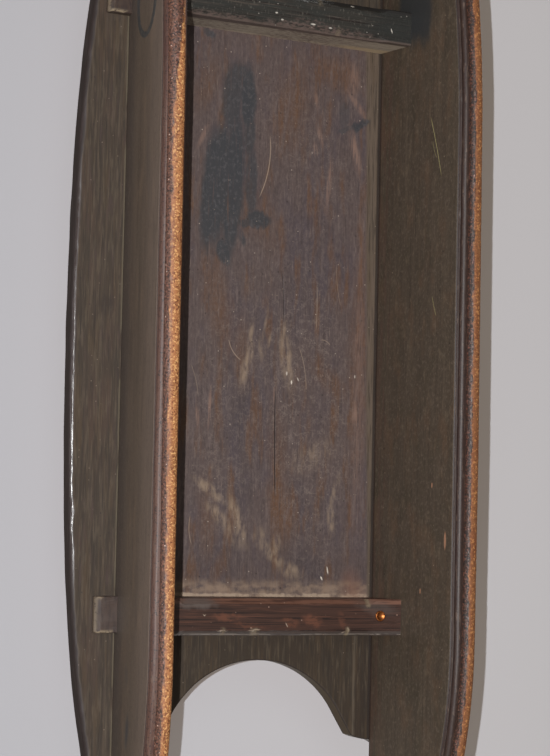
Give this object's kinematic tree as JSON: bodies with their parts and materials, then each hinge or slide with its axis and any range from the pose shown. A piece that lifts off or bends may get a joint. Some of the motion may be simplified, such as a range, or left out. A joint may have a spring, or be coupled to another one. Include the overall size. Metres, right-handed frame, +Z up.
{
  "type": "coasting sled",
  "caption": "Child's wooden coasting sled: boat-shaped deck board on leaning plank runners shod with rusty half-round iron, joined by tenoned cross cleats.",
  "frame": {"origin": "middle of the footprint, on the surface that the iron shoes stand on", "axes": "+Z up, +Y from the nose towards the tail, +X across"},
  "size_m": [0.3704, 1.0726, 0.1635],
  "materials": {
    "deck_wood": "worn dark paint over aged board, dull with glossy edges",
    "runner_wood": "old olive-brown varnish, satin",
    "shoe_iron": "rusty, polished along the crown",
    "cleat_wood": "dark stained, worn",
    "rung_wood": "old varnish, satin"
  },
  "bodies": {
    "root": {"deck_board": "deck_wood", "runner_left": "runner_wood", "runner_right": "runner_wood", "shoe_left": "shoe_iron", "shoe_right": "shoe_iron", "cleat_front": "cleat_wood", "cleat_rear": "cleat_wood", "nose_rung": "rung_wood"}
  },
  "joints": []
}
